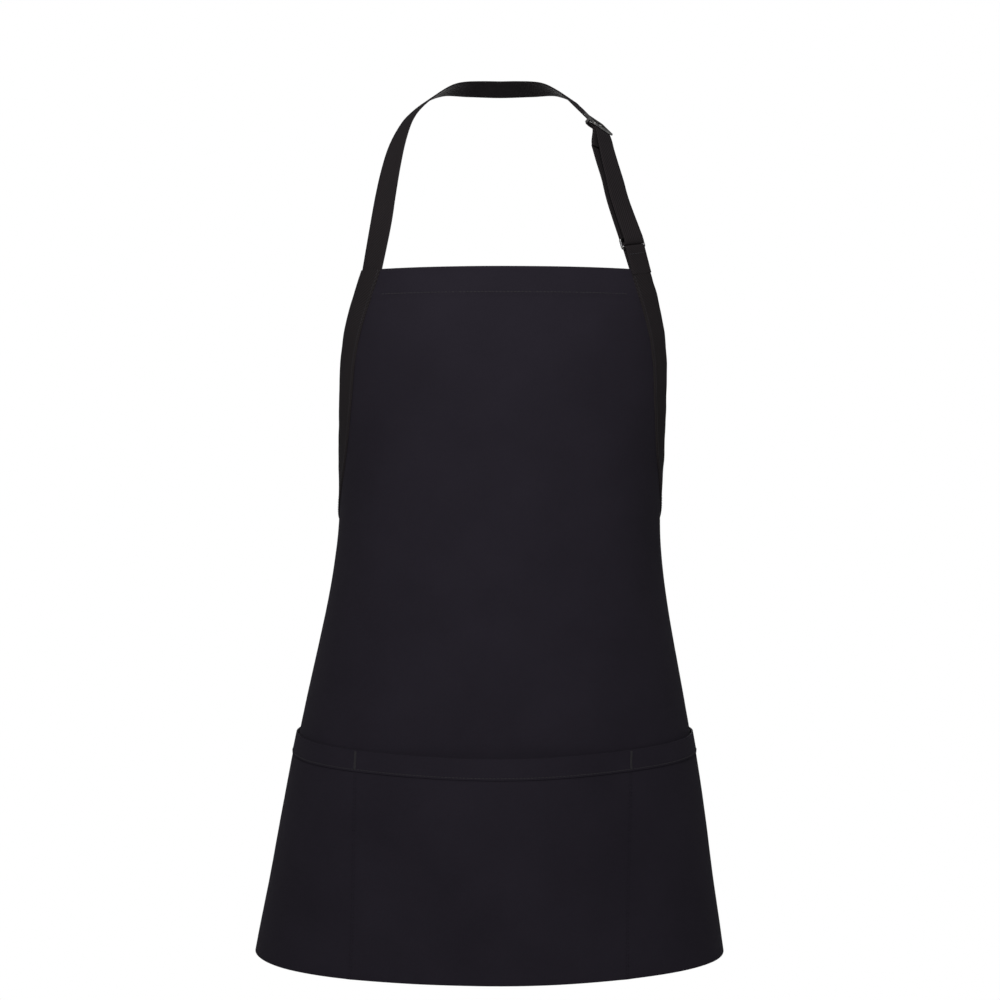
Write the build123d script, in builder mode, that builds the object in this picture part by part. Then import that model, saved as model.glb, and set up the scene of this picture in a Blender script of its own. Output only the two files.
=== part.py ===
from build123d import *
import functools
import math
import os

os.makedirs("parts", exist_ok=True)

# A bib apron with three pockets, hanging as it is worn.  Millimetres.  +Z is up, the front faces
# -Y and +X is the wearer's left.  The origin is the nape, where the neck strap rests.
# Points on the cloth are given on its flat pattern: u runs sideways from the centre line and
# v runs down from the top edge of the bib.

# ---- cloth and tape ----
CLOTH = 0.8                  # poly-cotton twill, as one layer
TAPE = 25.4                  # width of the bindings, the strap and the ties
TAPE_THICK = 1.2
LAYER_GAP = 0.2              # air between two sewn layers
STITCH_WIDTH = 2.0           # a double row
THREAD = 0.6                 # how far a row of stitches stands proud

# ---- flat pattern ----
APRON_LENGTH = 648.0
PANEL_WIDTH = 711.0
BIB_WIDTH = 293.0
ARMHOLE_DROP = 250.0
BIB_HEM = 25.4
SIDE_HEM = 12.0
POCKET_DEPTH = 203.0
POCKET_HEM = 19.0
CENTRE_POCKET = 256.0        # from one divider seam to the other
CENTRE_GAPE = 9.0            # how far the mouth of the centre pocket stands open
SIDE_GAPE = 6.5
BARTACK_LENGTH = 16.0
BARTACK_WIDTH = 2.2

# ---- the body that the apron hangs round ----
BIB_TOP_Z = -185.0
TORSO_Y = -62.0              # the plane through the wearer's sides
BIB_HALF_WIDTH = 153.0
CHEST_HALF_WIDTH = 160.0
WAIST_HALF_WIDTH = 151.0
HEM_HALF_WIDTH = 220.0
CHEST_V = 62.0
WAIST_V = 215.0
FLARE_V = 270.0              # the skirt flares in a straight line from here down
BIB_FRONT_DEPTH = 98.0
CHEST_FRONT_DEPTH = 110.0
WAIST_FRONT_DEPTH = 117.0
HEM_FRONT_DEPTH = 150.0
BACK_DEPTH = 98.0
HEM_BACK_DEPTH = 128.0
POCKET_TILT = 0.094          # how much a level line of the cloth climbs towards the sides
HEM_TILT = 0.055
BIB_SHIFT = 5.0              # the cloth hangs a little askew
HEM_SHIFT = -10.0

# ---- neck strap ----
SLIDE_PLACE = (91.3, -88.0, -47.0)
SLIDE_RUN = (-0.517, 0.603, 0.608)       # along the strap at the slide, towards the nape
SLIDE_ACROSS = (0.583, 0.768, -0.266)
SLIDE_TRAVEL = 30.0
SLIDE_WIDTH = 31.0
SLIDE_HEIGHT = 20.0
SLIDE_WIRE = 2.2
SLIDE_BAR = 3.0              # width of the flat centre bar
SLIDE_ROOM = 0.15            # clearance of tape round a bar
STRAIGHT_BELOW = 9.0         # straight strap below the middle of the slide
RING_WIDTH = 32.0
RING_HEIGHT = 11.0
RING_WIRE = 2.2
RING_RISE = 26.0             # from the top of the bib to the middle of the ring
RING_ROOM = 0.9              # play of the ring in the strap, which lets it rock
RETURN_GAPS = (1.8, 1.3, 1.2, 1.8)       # how far the return hangs behind the strap's front

# ---- waist ties ----
KNOT_WIDTH = 26.0
KNOT_HEIGHT = 27.0
KNOT_DEPTH = 13.0
LOOP_LENGTH = 120.0
LOOP_DEPTH = 22.0
LOOP_DROOP = 32.0            # degrees below level
TAIL_LENGTH = 350.0
TAIL_SPLAY = 5.0             # degrees from upright

BIB_HALF = BIB_WIDTH / 2
PANEL_HALF = PANEL_WIDTH / 2
SEAM_U = CENTRE_POCKET / 2
MOUTH_V = APRON_LENGTH - POCKET_DEPTH


def through(stations, v):
    """A smooth curve through (v, value) stations, read at v."""
    if v <= stations[0][0]:
        return stations[0][1]
    if v >= stations[-1][0]:
        return stations[-1][1]
    slopes = [(b[1] - a[1]) / (b[0] - a[0]) for a, b in zip(stations, stations[1:])]
    bends = [slopes[0]] + [(a + b) / 2 for a, b in zip(slopes, slopes[1:])] + [slopes[-1]]
    i = max(k for k in range(len(slopes)) if stations[k][0] <= v)
    (v0, p0), (v1, p1) = stations[i], stations[i + 1]
    span = v1 - v0
    t = (v - v0) / span
    rise = t * t * (3 - 2 * t)
    return (
        p0 * (1 - rise)
        + p1 * rise
        + span * bends[i] * t * (1 - t) ** 2
        - span * bends[i + 1] * t * t * (1 - t)
    )


HALF_WIDTHS = (
    (0, BIB_HALF_WIDTH),
    (CHEST_V, CHEST_HALF_WIDTH),
    (WAIST_V, WAIST_HALF_WIDTH),
    (FLARE_V, WAIST_HALF_WIDTH + 2.5),
    (APRON_LENGTH, HEM_HALF_WIDTH),
)
FRONT_DEPTHS = (
    (0, BIB_FRONT_DEPTH),
    (CHEST_V, CHEST_FRONT_DEPTH),
    (WAIST_V, WAIST_FRONT_DEPTH),
    (APRON_LENGTH, HEM_FRONT_DEPTH),
)
BACK_DEPTHS = ((0, BACK_DEPTH), (WAIST_V, BACK_DEPTH), (APRON_LENGTH, HEM_BACK_DEPTH))
TILTS = ((0, 0), (WAIST_V, POCKET_TILT / 2), (MOUTH_V, POCKET_TILT), (APRON_LENGTH, HEM_TILT))
SHIFTS = ((0, BIB_SHIFT), (APRON_LENGTH, HEM_SHIFT))
SECTION_STEPS = 180


@functools.lru_cache(maxsize=None)
def section(v):
    """The half section of the body at v: half width, depths and (arc length, angle) pairs."""
    wide = through(HALF_WIDTHS, v)
    front = through(FRONT_DEPTHS, v)
    back = through(BACK_DEPTHS, v)
    length = 0.0
    arcs = [(0.0, 0.0)]
    for i in range(SECTION_STEPS):
        angle = math.pi * (i + 0.5) / SECTION_STEPS
        deep = front if angle < math.pi / 2 else back
        length += math.hypot(wide * math.cos(angle), deep * math.sin(angle)) * math.pi / SECTION_STEPS
        arcs.append((length, math.pi * (i + 1) / SECTION_STEPS))
    return wide, front, back, arcs


def on_body(u, v, lift=0.0):
    """Where a point of the flat pattern lies in space, lift millimetres off the body."""
    wide, front, back, arcs = section(v)
    along = min(abs(u), arcs[-1][0])
    i = min(int(along / arcs[-1][0] * SECTION_STEPS), SECTION_STEPS - 1)
    while arcs[i][0] > along:
        i -= 1
    while i < SECTION_STEPS - 1 and arcs[i + 1][0] < along:
        i += 1
    (s0, a0), (s1, a1) = arcs[i], arcs[i + 1]
    angle = a0 + (a1 - a0) * (along - s0) / (s1 - s0)
    deep = front if angle < math.pi / 2 else back
    x = through(SHIFTS, v) + math.copysign((wide + lift) * math.sin(angle), u)
    y = TORSO_Y - (deep + lift) * math.cos(angle)
    climb = through(TILTS, v) * (y - TORSO_Y + front)
    return Vector(x, y, BIB_TOP_Z - v + climb)


def between(low, high, count):
    """count + 1 evenly spaced values from low to high."""
    return [low + (high - low) * i / count for i in range(count + 1)]


def cloth_face(us, vs, lift=lambda u, v: 0.0):
    """One smooth face through a grid of flat pattern points; its normal looks outward."""
    rows = [[on_body(u, v, lift(u, v)) for u in us] for v in vs]
    return Face.make_surface_from_array_of_points(rows, tol=0.02)


# ---- armhole curve on the flat pattern ----
ARMHOLE_SHAPE = (            # shares of the way out from the bib's corner, and of the drop
    (0.0, 0.0),
    (0.072, 0.128),
    (0.139, 0.3),
    (0.182, 0.5),
    (0.249, 0.688),
    (0.392, 0.848),
    (0.622, 0.944),
    (1.0, 1.0),
)
ARMHOLE_REACH = PANEL_HALF - BIB_HALF
ARMHOLE = [(BIB_HALF + ARMHOLE_REACH * out, ARMHOLE_DROP * down) for out, down in ARMHOLE_SHAPE]
with BuildLine(Plane.XY) as armhole_line:
    Spline(*ARMHOLE)
armhole_curve = armhole_line.edges()[0]


SQUARE_END = 0.12            # share of the curve over which the tape's top end turns level


def armhole_point(t, inward):
    """A flat pattern point beside the armhole edge, inward from it."""
    edge = armhole_curve @ t
    along = armhole_curve % t
    turn = min(t / SQUARE_END, 1)
    level = Vector(-1, 0) * (1 - turn) + Vector(-along.Y, along.X) * turn
    point = edge + level.normalized() * inward
    return point.X, point.Y


def armhole_strip(side, starts_in, ends_in, lift):
    """A face that follows the armhole edge, between two distances inward from it."""
    rows = []
    for t in between(0, 1, 28):
        row = []
        for inward in between(starts_in, ends_in, 5):
            u, v = armhole_point(t, inward)
            row.append(on_body(side * u, v, lift))
        rows.append(row if side < 0 else row[::-1])
    return Face.make_surface_from_array_of_points(rows, tol=0.02)


EDGE_ROOM = TAPE_THICK + 0.3     # the raw edge stops this far inside the fold of its binding

# ---- body panel: the bib and the skirt in one cut ----
panel_face = cloth_face(between(-PANEL_HALF, PANEL_HALF, 56), between(0, APRON_LENGTH, 32))
cut_edge = []
for t in between(0, 1, 14):
    u, v = armhole_point(t, EDGE_ROOM)
    point = on_body(u, v)
    cut_edge.append((point.Y, point.Z))
BEHIND = 200.0
with BuildPart() as body_panel:
    thicken(panel_face, amount=CLOTH)
    with BuildSketch(Plane.YZ):
        with BuildLine():
            curve = Spline(*cut_edge)
            Polyline(
                curve @ 1,
                (BEHIND, cut_edge[-1][1]),
                (BEHIND, 0),
                (cut_edge[0][0], 0),
                curve @ 0,
            )
        make_face()
    extrude(amount=BEHIND + HEM_HALF_WIDTH, both=True, mode=Mode.SUBTRACT)
body_panel.part.label = "body_panel"
export_step(body_panel.part, "parts/body_panel.step")

# ---- hems, folded to the inside ----
INSIDE = -LAYER_GAP - CLOTH
bib_hem_half = BIB_HALF - TAPE - 2
with BuildPart() as bib_top_hem:
    thicken(
        cloth_face(between(-bib_hem_half, bib_hem_half, 16), between(0, BIB_HEM, 3), lambda u, v: INSIDE),
        amount=CLOTH,
    )
bib_top_hem.part.label = "bib_top_hem"
export_step(bib_top_hem.part, "parts/bib_top_hem.step")

SIDES = (("left", 1), ("right", -1))
for name, side in SIDES:
    hem_us = sorted((side * (PANEL_HALF - SIDE_HEM), side * PANEL_HALF))
    with BuildPart() as side_hem:
        thicken(
            cloth_face(
                between(hem_us[0], hem_us[1], 3),
                between(ARMHOLE_DROP + TAPE + 2, APRON_LENGTH, 20),
                lambda u, v: INSIDE,
            ),
            amount=CLOTH,
        )
    side_hem.part.label = f"side_hem_{name}"
    export_step(side_hem.part, f"parts/side_hem_{name}.step")

# ---- armhole bindings: tape folded over the raw edge ----
UNDER = LAYER_GAP + TAPE_THICK
for name, side in SIDES:
    with BuildPart() as binding:
        thicken(armhole_strip(side, 0, TAPE, -UNDER), amount=CLOTH + 2 * UNDER)
        thicken(
            armhole_strip(side, TAPE_THICK / 2, TAPE + 5, -LAYER_GAP),
            amount=CLOTH + 2 * LAYER_GAP,
            mode=Mode.SUBTRACT,
        )
    binding.part.label = f"armhole_binding_{name}"
    export_step(binding.part, f"parts/armhole_binding_{name}.step")


# ---- pockets: the cloth folded up over the skirt and sewn into three ----
POCKET_BASE = CLOTH + LAYER_GAP


def pocket_lift(u, v):
    """How far the inside of the pocket cloth stands off the body."""
    up = min(max((APRON_LENGTH - v) / POCKET_DEPTH, 0), 1)
    if abs(u) < SEAM_U:
        bulge = CENTRE_GAPE * math.cos(math.pi * u / CENTRE_POCKET) ** 2
    else:
        side_pocket = PANEL_HALF - SEAM_U
        bulge = SIDE_GAPE * math.sin(math.pi * min((abs(u) - SEAM_U) / side_pocket, 1)) ** 2
    return POCKET_BASE + bulge * math.sin(math.pi / 2 * up)


pocket_us = between(-PANEL_HALF, -SEAM_U, 14) + between(-SEAM_U, SEAM_U, 20)[1:]
pocket_us += between(SEAM_U, PANEL_HALF, 14)[1:]
with BuildPart() as pocket_panel:
    thicken(cloth_face(pocket_us, between(MOUTH_V, APRON_LENGTH + 1, 14), pocket_lift), amount=CLOTH)
pocket_panel.part.label = "pocket_panel"
export_step(pocket_panel.part, "parts/pocket_panel.step")


with BuildPart() as pocket_top_hem:
    thicken(
        cloth_face(
            pocket_us[1:-1],
            between(MOUTH_V, MOUTH_V + POCKET_HEM, 4),
            lambda u, v: pocket_lift(u, v) + CLOTH + LAYER_GAP,
        ),
        amount=CLOTH,
    )
pocket_top_hem.part.label = "pocket_top_hem"
export_step(pocket_top_hem.part, "parts/pocket_top_hem.step")

ON_POCKET = 2 * CLOTH + 2 * LAYER_GAP      # outside of the pocket's own hem
with BuildPart() as pocket_divider_stitching:
    for side in (1, -1):
        us = between(side * SEAM_U - STITCH_WIDTH / 2, side * SEAM_U + STITCH_WIDTH / 2, 3)
        thicken(
            cloth_face(
                us,
                between(MOUTH_V + POCKET_HEM + 1, APRON_LENGTH - 1, 10),
                lambda u, v: pocket_lift(u, v) + CLOTH + LAYER_GAP / 2,
            ),
            amount=THREAD,
        )
pocket_divider_stitching.part.label = "pocket_divider_stitching"
export_step(pocket_divider_stitching.part, "parts/pocket_divider_stitching.step")

with BuildPart() as pocket_bartacks:
    for side in (1, -1):
        us = between(side * SEAM_U - BARTACK_WIDTH / 2, side * SEAM_U + BARTACK_WIDTH / 2, 3)
        thicken(
            cloth_face(
                us,
                between(MOUTH_V + 1, MOUTH_V + 1 + BARTACK_LENGTH, 3),
                lambda u, v: pocket_lift(u, v) + ON_POCKET,
            ),
            amount=THREAD,
        )
pocket_bartacks.part.label = "pocket_bartacks"
export_step(pocket_bartacks.part, "parts/pocket_bartacks.step")


# ---- neck strap ----
def ribbon_planes(stations, leaves=None, arrives=None):
    """Section planes of a ribbon through (place, across) stations, and halfway between them.

    x lies across the ribbon and y off its face.  leaves and arrives are its end directions.
    """
    places = [place for place, across in stations]
    with BuildLine():
        if arrives:
            path = Spline(*places, tangents=(leaves, arrives), mode=Mode.PRIVATE)
        else:
            path = Spline(*places, mode=Mode.PRIVATE)
    turns = [path.param_at_point(place) for place in places]
    acrosses = [across for place, across in stations]
    planes = []
    for i in range(2 * len(stations) - 1):
        low, high = i // 2, (i + 1) // 2
        turn = (turns[low] + turns[high]) / 2
        along = path % turn
        across = (acrosses[low] + acrosses[high]) / 2
        across = (across - along * across.dot(along)).normalized()
        planes.append(Plane(origin=path @ turn, x_dir=across, z_dir=along))
    return planes


def mirrored(station):
    """The same station on the other side of the neck."""
    place, across = station
    return Vector(-place.X, place.Y, place.Z), Vector(-across.X, across.Y, across.Z)


run = Vector(*SLIDE_RUN).normalized()
slide_centre = Vector(*SLIDE_PLACE)
slide_across = Vector(*SLIDE_ACROSS)
slide_across = (slide_across - run * slide_across.dot(run)).normalized()
slide_plane = Plane(origin=slide_centre, x_dir=slide_across, z_dir=slide_across.cross(run))
straight_top = slide_centre + run * (SLIDE_TRAVEL + SLIDE_HEIGHT / 2 + 2)
straight_bottom = slide_centre - run * STRAIGHT_BELOW


CUT_BACK = 4.0               # tape that is trimmed level with the top of the bib
LEVEL = Plane.XY.offset(BIB_TOP_Z + 2 * LAYER_GAP)


def corner_frame(side):
    """The middle of the binding's top end, and the direction across it."""
    place = on_body(side * (BIB_HALF - TAPE / 2), 0, CLOTH / 2)
    across = on_body(side * BIB_HALF, 0) - on_body(side * (BIB_HALF - TAPE), 0)
    return place, across.normalized()


left_corner, left_across = corner_frame(1)
right_corner, right_across = corner_frame(-1)

# The doubled end of the strap drops from the slide to the ring in a slight curve.
LOWER_STRAP = (
    (Vector(99.8, -98.8, -68.5), Vector(0.61, 0.75, -0.23)),
    (Vector(103.4, -104.8, -84.5), Vector(0.65, 0.73, -0.16)),
    (Vector(107.2, -109.5, -100.0), Vector(0.68, 0.71, -0.1)),
    (Vector(112.0, -114.0, -120.0), Vector(0.7, 0.7, -0.03)),
)
ring_up = (LOWER_STRAP[-1][0] - left_corner).normalized()
ring_across = (left_across - ring_up * left_across.dot(ring_up)).normalized()
ring_centre = left_corner + ring_up * RING_RISE
ring_plane = Plane(origin=ring_centre, x_dir=ring_across, z_dir=ring_across.cross(ring_up))
bar_offset = RING_HEIGHT / 2 - RING_WIRE / 2
upper_bar = ring_centre + ring_up * bar_offset
lower_bar = ring_centre - ring_up * bar_offset
wrap_inside = RING_WIRE / 2 + RING_ROOM
wrap_middle = wrap_inside + TAPE_THICK / 2

# From the straight stretch round the nape, and down to the other corner of the bib.
NAPE_STRAP = (
    (Vector(62.5, -55.0, -14.5), Vector(0.57, 0.79, -0.27)),
    (Vector(46.0, -33.0, -4.6), Vector(0.43, 0.85, -0.33)),
    (Vector(24.0, -9.0, -0.8), Vector(0.22, 0.86, -0.44)),
)
NAPE = (Vector(0, 0, 0), Vector(0, 0.87, -0.5))
RIGHT_STRAP = (
    (Vector(-79.5, -72.0, -30.5), Vector(-0.583, 0.768, -0.266)),
    (Vector(-89.0, -83.5, -45.0), Vector(-0.585, 0.766, -0.25)),
    (Vector(-97.0, -95.0, -65.0), Vector(-0.6, 0.76, -0.21)),
    (Vector(-103.0, -104.5, -89.0), Vector(-0.64, 0.73, -0.14)),
    (Vector(-108.0, -111.5, -116.0), Vector(-0.67, 0.71, -0.08)),
    (Vector(-112.5, -116.0, -144.0), Vector(-0.7, 0.7, -0.03)),
)
nape_side = [(straight_top, slide_across)] + list(NAPE_STRAP) + [NAPE]
nape_side += [mirrored(station) for station in NAPE_STRAP[::-1]]
nape_side += list(RIGHT_STRAP) + [(right_corner - Vector(0, 0, CUT_BACK), right_across)]
front_bottom = upper_bar + ring_plane.z_dir * wrap_middle
back_bottom = upper_bar - ring_plane.z_dir * wrap_middle
lower_front = [(straight_bottom, slide_across)] + list(LOWER_STRAP) + [(front_bottom, ring_across)]


def ring_wrap(bar_y, opens, inside, leg):
    """Tape folded round a bar of the ring, with two legs; it opens up (1) or down (-1)."""
    outside = inside + TAPE_THICK
    with BuildSketch(Plane(origin=ring_centre, x_dir=ring_up, z_dir=ring_across)) as profile:
        with Locations((bar_y, 0)):
            Circle(outside)
        with Locations((bar_y + opens * (leg + outside) / 2, 0)):
            Rectangle(leg + outside, 2 * outside)
        with Locations((bar_y, 0)):
            Circle(inside, mode=Mode.SUBTRACT)
        with Locations((bar_y + opens * (leg + outside) / 2, 0)):
            Rectangle(leg + outside, 2 * inside, mode=Mode.SUBTRACT)
        with Locations((bar_y + opens * (leg + outside), 0)):
            Rectangle(2 * outside, 2 * outside, mode=Mode.SUBTRACT)
    extrude(profile.sketch, amount=TAPE / 2, both=True)


def loft_tape(planes, offsets, thick=TAPE_THICK):
    """Tape through section planes, each section moved off the face of the strap by its offset."""
    sections = []
    for plane, offset in zip(planes, offsets):
        with BuildSketch(plane) as section_sketch:
            with Locations((0, offset)):
                Rectangle(TAPE, thick)
        sections.append(section_sketch.sketch)
    loft(sections)


FOLD_LEG = 0.5
lower_planes = ribbon_planes(lower_front, run * -1, ring_up * -1)
nape_planes = ribbon_planes(nape_side, run, Vector(0, 0, -1))
with BuildPart() as neck_strap:
    with BuildSketch(Plane(origin=straight_bottom, x_dir=slide_across, z_dir=run)):
        Rectangle(TAPE, TAPE_THICK)
    extrude(amount=(straight_top - straight_bottom).length)
    loft_tape(nape_planes[::2], [0] * len(nape_side))
    loft_tape(lower_planes, [0] * len(lower_planes))
    ring_wrap(bar_offset, 1, wrap_inside, FOLD_LEG)
    split(bisect_by=LEVEL, keep=Keep.TOP)
neck_strap.part.label = "neck_strap"
export_step(neck_strap.part, "parts/neck_strap.step")

# ---- slide: a rectangular frame with a dropped flat centre bar ----
half_tape = TAPE_THICK / 2
frame_bottom = half_tape + SLIDE_ROOM
bar_top = -half_tape - 2 * SLIDE_ROOM - TAPE_THICK
bar_bottom = bar_top - SLIDE_WIRE / 2
leg_span = SLIDE_WIDTH - SLIDE_WIRE
with BuildPart() as strap_slide:
    with BuildSketch(slide_plane.offset(frame_bottom)):
        RectangleRounded(SLIDE_WIDTH, SLIDE_HEIGHT, SLIDE_WIRE)
        with GridLocations(0, (SLIDE_HEIGHT - SLIDE_WIRE) / 2, 1, 2):
            Rectangle(
                SLIDE_WIDTH - 2 * SLIDE_WIRE,
                (SLIDE_HEIGHT - SLIDE_WIRE) / 2 - SLIDE_WIRE,
                mode=Mode.SUBTRACT,
            )
        Rectangle(SLIDE_WIDTH - 2 * SLIDE_WIRE, SLIDE_WIRE * 2, mode=Mode.SUBTRACT)
    extrude(amount=SLIDE_WIRE)
    fillet(strap_slide.faces().filter_by(slide_plane).edges(), SLIDE_WIRE / 4)
    with BuildSketch(slide_plane.offset(bar_bottom)):
        with GridLocations(leg_span, 0, 2, 1):
            Rectangle(SLIDE_WIRE, SLIDE_BAR)
    extrude(amount=frame_bottom + SLIDE_WIRE / 2 - bar_bottom)
    with BuildSketch(slide_plane.offset(bar_bottom)):
        Rectangle(leg_span, SLIDE_BAR)
    extrude(amount=bar_top - bar_bottom)
strap_slide.part.label = "strap_slide"
export_step(strap_slide.part, "parts/strap_slide.step")

# ---- end tab: the strap's end, turned round the centre bar and sewn back on itself ----
wrap_top = bar_top + SLIDE_ROOM + TAPE_THICK
wrap_low = bar_bottom - SLIDE_ROOM - TAPE_THICK
wrap_reach = SLIDE_BAR / 2 + SLIDE_ROOM + TAPE_THICK
tab_low = wrap_top - 2 * TAPE_THICK
with BuildPart() as strap_end_tab:
    with BuildSketch(Plane(origin=slide_centre, x_dir=run, z_dir=slide_across)):
        with BuildLine():
            Polyline(
                (0, wrap_top),
                (-STRAIGHT_BELOW, wrap_top),
                (-STRAIGHT_BELOW, tab_low),
                (-wrap_reach - 3 * TAPE_THICK, tab_low),
                (-wrap_reach, wrap_low),
                (wrap_reach, wrap_low),
                (wrap_reach, wrap_top),
                close=True,
            )
        make_face()
        with Locations((0, (bar_top + bar_bottom) / 2)):
            Rectangle(
                SLIDE_BAR + 2 * SLIDE_ROOM, bar_top - bar_bottom + 2 * SLIDE_ROOM, mode=Mode.SUBTRACT
            )
    extrude(amount=TAPE / 2, both=True)
    tab_middle = (wrap_top + tab_low) / 2
    tab_offsets = (tab_middle, tab_middle - LAYER_GAP, tab_middle - 3 * LAYER_GAP)
    loft_tape(lower_planes[:3], tab_offsets, 2 * TAPE_THICK)
strap_end_tab.part.label = "strap_end_tab"
export_step(strap_end_tab.part, "parts/strap_end_tab.step")

# ---- return: the strap's way back from the ring to the tab, behind its front ----
behind_front = wrap_top - TAPE_THICK / 2
return_offsets = [behind_front - gap for gap in RETURN_GAPS]
return_line = []
for station in range(1, len(lower_front) - 1):
    plane = lower_planes[2 * station]
    return_line.append((plane.origin + plane.y_dir * return_offsets[station - 1], plane.x_dir))
tab_end = return_line[0][0] - lower_planes[2].z_dir * -LAYER_GAP
return_line[0] = (tab_end, return_line[0][1])
return_line.append((back_bottom + ring_up * (FOLD_LEG + LAYER_GAP), ring_across))
return_planes = ribbon_planes(return_line, lower_planes[2].z_dir, ring_up * -1)
with BuildPart() as strap_return:
    loft_tape(return_planes, [0] * len(return_planes))
strap_return.part.label = "strap_return"
export_step(strap_return.part, "parts/strap_return.step")

# ---- ring, and the end of the binding that holds it ----
with BuildPart() as strap_ring:
    with BuildSketch(ring_plane.offset(-RING_WIRE / 2)):
        RectangleRounded(RING_WIDTH, RING_HEIGHT, RING_WIRE)
        RectangleRounded(
            RING_WIDTH - 2 * RING_WIRE, RING_HEIGHT - 2 * RING_WIRE, RING_WIRE / 2, mode=Mode.SUBTRACT
        )
    extrude(amount=RING_WIRE)
    fillet(strap_ring.faces().filter_by(ring_plane).edges(), RING_WIRE / 2.2)
strap_ring.part.label = "strap_ring"
export_step(strap_ring.part, "parts/strap_ring.step")

with BuildPart() as ring_loop:
    ring_wrap(-bar_offset, -1, RING_WIRE / 2 + SLIDE_ROOM, RING_RISE)
    split(bisect_by=LEVEL, keep=Keep.TOP)
ring_loop.part.label = "ring_loop"
export_step(ring_loop.part, "parts/ring_loop.step")


# ---- waist ties: tape that runs on from the bindings, tied in a bow at the back ----
def half_round(v):
    """Half the way round the body at v."""
    return section(v)[3][-1][0]


for name, side in SIDES:
    rows = []
    for v in between(ARMHOLE_DROP, ARMHOLE_DROP + TAPE, 4):
        ends = (PANEL_HALF + LAYER_GAP, half_round(v) - KNOT_WIDTH / 2 - LAYER_GAP)
        row = [on_body(side * u, v) for u in between(ends[0], ends[1], 6)]
        rows.append(row if side > 0 else row[::-1])
    with BuildPart() as waist_tie:
        thicken(Face.make_surface_from_array_of_points(rows, tol=0.02), amount=TAPE_THICK)
    waist_tie.part.label = f"waist_tie_{name}"
    export_step(waist_tie.part, f"parts/waist_tie_{name}.step")

knot_v = ARMHOLE_DROP + TAPE / 2
knot_centre = on_body(half_round(knot_v), knot_v, KNOT_DEPTH / 4)
knot_plane = Plane(origin=knot_centre, x_dir=(1, 0, 0), z_dir=(0, 1, 0))
with BuildPart() as tie_knot:
    with BuildSketch(knot_plane.offset(-KNOT_DEPTH / 2)):
        RectangleRounded(KNOT_WIDTH, KNOT_HEIGHT, KNOT_DEPTH / 3)
    extrude(amount=KNOT_DEPTH)
    fillet(tie_knot.faces().filter_by(Axis.Y).edges(), KNOT_DEPTH / 3.5)
tie_knot.part.label = "tie_knot"
export_step(tie_knot.part, "parts/tie_knot.step")

LOOP_SIDE = 4.0              # the loops leave the knot this far behind its middle
LOOP_NOSE = 2.5
for name, side in SIDES:
    droop = math.radians(LOOP_DROOP)
    outward = Vector(side * math.cos(droop), 0, -math.sin(droop))
    start = knot_centre + Vector(side * KNOT_WIDTH / 2, LOOP_SIDE, 0)
    loop_plane = Plane(origin=start, x_dir=outward, z_dir=outward.cross(Vector(0, side, 0)))
    knot_side = Plane(origin=start + Vector(side * LAYER_GAP, 0, 0), z_dir=(side, 0, 0))
    with BuildPart() as tie_loop:
        for shrink, mode in ((0, Mode.ADD), (TAPE_THICK, Mode.SUBTRACT)):
            with BuildSketch(loop_plane) as outline:
                with Locations((0, 0)):
                    Circle(LOOP_NOSE - shrink)
                with Locations((LOOP_LENGTH - LOOP_DEPTH / 2, side * LOOP_DEPTH / 4)):
                    Circle(LOOP_DEPTH / 2 - shrink)
                make_hull()
            extrude(amount=TAPE / 2, both=True, mode=mode)
        split(bisect_by=knot_side, keep=Keep.TOP)
    tie_loop.part.label = f"tie_loop_{name}"
    export_step(tie_loop.part, f"parts/tie_loop_{name}.step")

# Each tail is a (backward, share of its length) curve down from the knot.
TAIL_SHAPES = {
    "left": ((-2.0, 0.0), (1.0, -0.2), (-1.0, -0.55), (3.0, -1.0)),
    "right": ((-5.5, 0.0), (-7.0, -0.2), (-8.0, -0.5), (-4.0, -1.0)),
}
for name, side in SIDES:
    splay = math.radians(TAIL_SPLAY)
    top = knot_centre + Vector(side * KNOT_WIDTH / 6, 0, CUT_BACK - KNOT_HEIGHT / 2)
    knot_bottom = Plane.XY.offset(knot_centre.Z - KNOT_HEIGHT / 2 - LAYER_GAP)
    tail_plane = Plane(origin=top, x_dir=(0, 1, 0), z_dir=(math.cos(splay), 0, side * math.sin(splay)))
    points = [(y, down * TAIL_LENGTH) for y, down in TAIL_SHAPES[name]]
    with BuildPart() as tie_tail:
        with BuildSketch(tail_plane):
            with BuildLine():
                inner = Spline(*points)
                outer = Spline(*[(y + TAPE_THICK, z) for y, z in points])
                Line(inner @ 0, outer @ 0)
                Line(inner @ 1, outer @ 1)
            make_face()
        extrude(amount=TAPE / 2, both=True)
        split(bisect_by=knot_bottom, keep=Keep.BOTTOM)
    tie_tail.part.label = f"tie_tail_{name}"
    export_step(tie_tail.part, f"parts/tie_tail_{name}.step")
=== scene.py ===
import math

import bpy
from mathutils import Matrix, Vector, noise


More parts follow.
